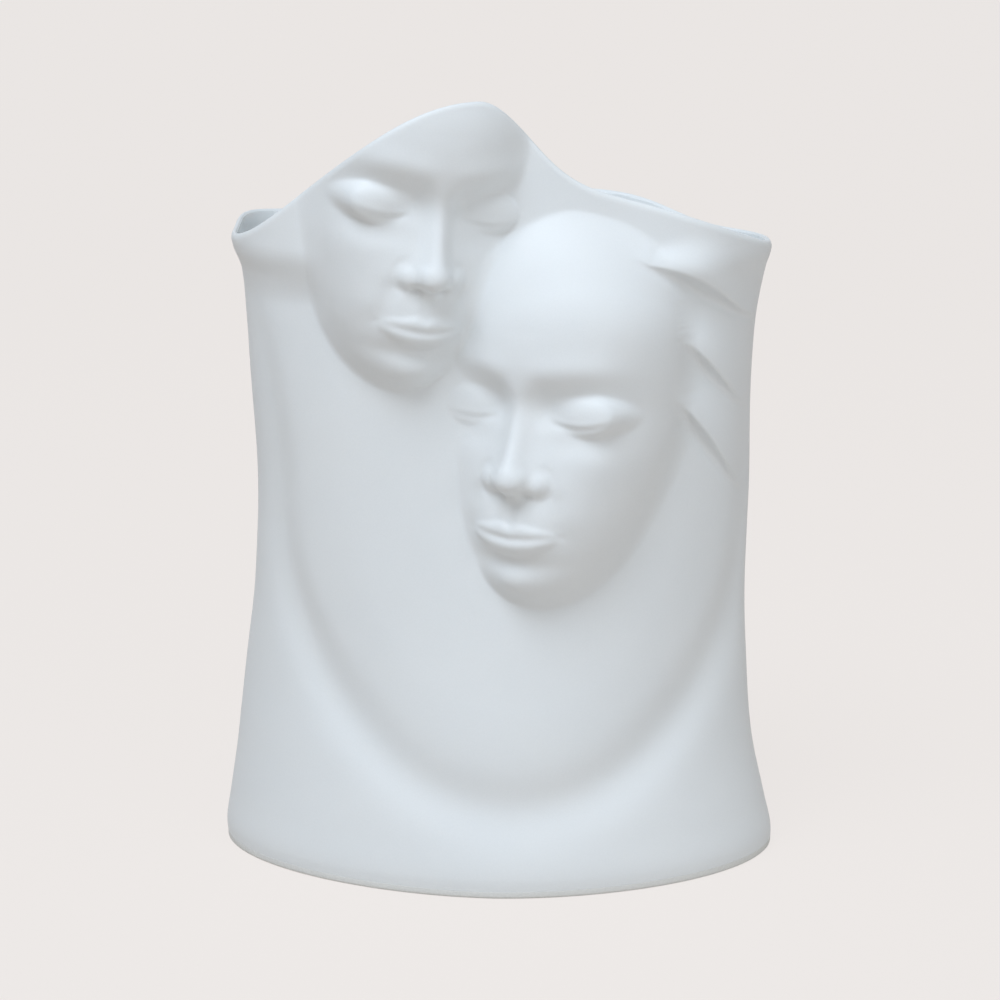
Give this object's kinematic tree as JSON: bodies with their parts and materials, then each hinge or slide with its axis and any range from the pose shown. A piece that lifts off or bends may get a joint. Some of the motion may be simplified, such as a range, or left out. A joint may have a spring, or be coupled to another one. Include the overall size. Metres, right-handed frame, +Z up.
{
  "type": "face vase",
  "caption": "Wide oval flower vase with a flared foot, a sculpted peaked rim, two calm faces and soft cloth folds in relief.",
  "frame": {"origin": "middle of the foot ring's bearing face, on the surface that the vase stands on", "axes": "+Z up, -Y out of the front with the faces, +X to the right as seen from the front"},
  "size_m": [0.2191, 0.1426, 0.3026],
  "materials": {
    "bisque": "matt white biscuit porcelain, unglazed, smoothed",
    "bare_foot": "bare porcelain, ground flat where it stands",
    "glaze": "clear glossy glaze over white porcelain, inside only"
  },
  "bodies": {
    "root": {"front_wall": "bisque", "back_wall": "bisque", "upper_face": "bisque", "lower_face": "bisque", "shoulder_fold_1": "bisque", "shoulder_fold_2": "bisque", "shoulder_fold_3": "bisque", "floor_plate": "bisque", "foot_ring": "bare_foot", "inner_glaze": "glaze"}
  },
  "joints": []
}
